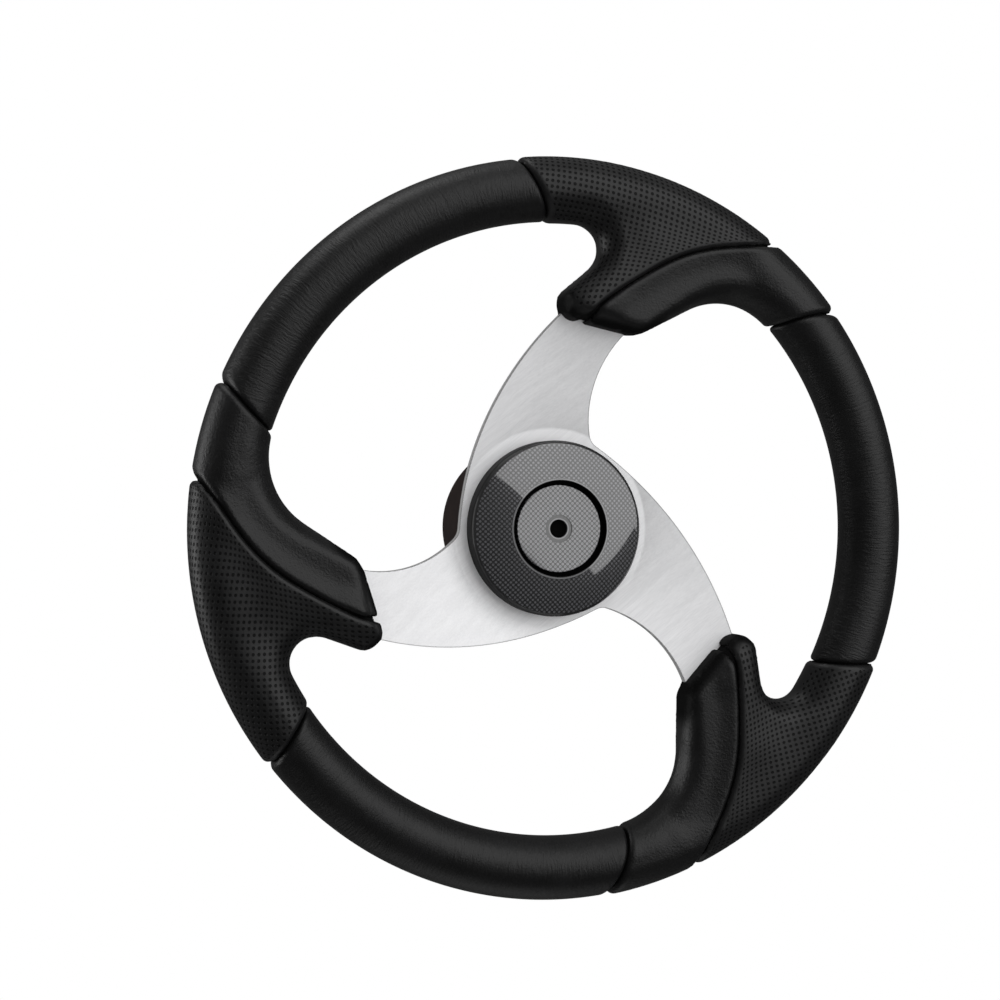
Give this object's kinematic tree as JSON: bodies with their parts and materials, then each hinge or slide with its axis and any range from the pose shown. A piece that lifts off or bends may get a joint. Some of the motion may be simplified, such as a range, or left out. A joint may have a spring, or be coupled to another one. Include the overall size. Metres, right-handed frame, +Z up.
{
  "type": "boat steering wheel",
  "caption": "Boat steering wheel with a padded black rim, thumb notches, a dished plate with curved brushed aluminium spokes, a glossy patterned cap and a round boss for a tapered shaft.",
  "frame": {"origin": "centre of the shaft bore's mouth, at the back end of the hub", "axes": "+Y along the wheel's axis, out of the bore towards the shaft; the face looks along -Y; +Z up"},
  "size_m": [0.3507, 0.0785, 0.3507],
  "materials": {
    "perforated_cover": "satin, perforated",
    "smooth_cover": "satin, fine grain",
    "sleeve_cover": "satin, fine creases",
    "spoke_aluminium": "brushed",
    "boss_plastic": "satin",
    "cap_film": "gloss over a woven pattern",
    "disc_film": "gloss over a woven pattern",
    "black_plastic": "matte",
    "hub_alloy": "machined casting",
    "steel": "zinc plated",
    "foam": "moulded foam"
  },
  "bodies": {
    "root": {"spoke_plate": "spoke_aluminium", "boss_cover": "boss_plastic", "centre_cap": "cap_film", "cap_disc": "disc_film", "cap_carrier": "black_plastic", "hub": "hub_alloy", "hub_screws": "steel", "foam_core": "foam", "rim_ring": "steel", "tab_rivets": "steel", "perforated_panel_1": "perforated_cover", "perforated_panel_2": "perforated_cover", "perforated_panel_3": "perforated_cover", "smooth_panel_1": "smooth_cover", "smooth_panel_2": "smooth_cover", "smooth_panel_3": "smooth_cover", "plain_sleeve_1": "sleeve_cover", "plain_sleeve_2": "sleeve_cover", "plain_sleeve_3": "sleeve_cover", "spoke_tab_1": "steel", "spoke_tab_2": "steel", "spoke_tab_3": "steel"}
  },
  "joints": []
}
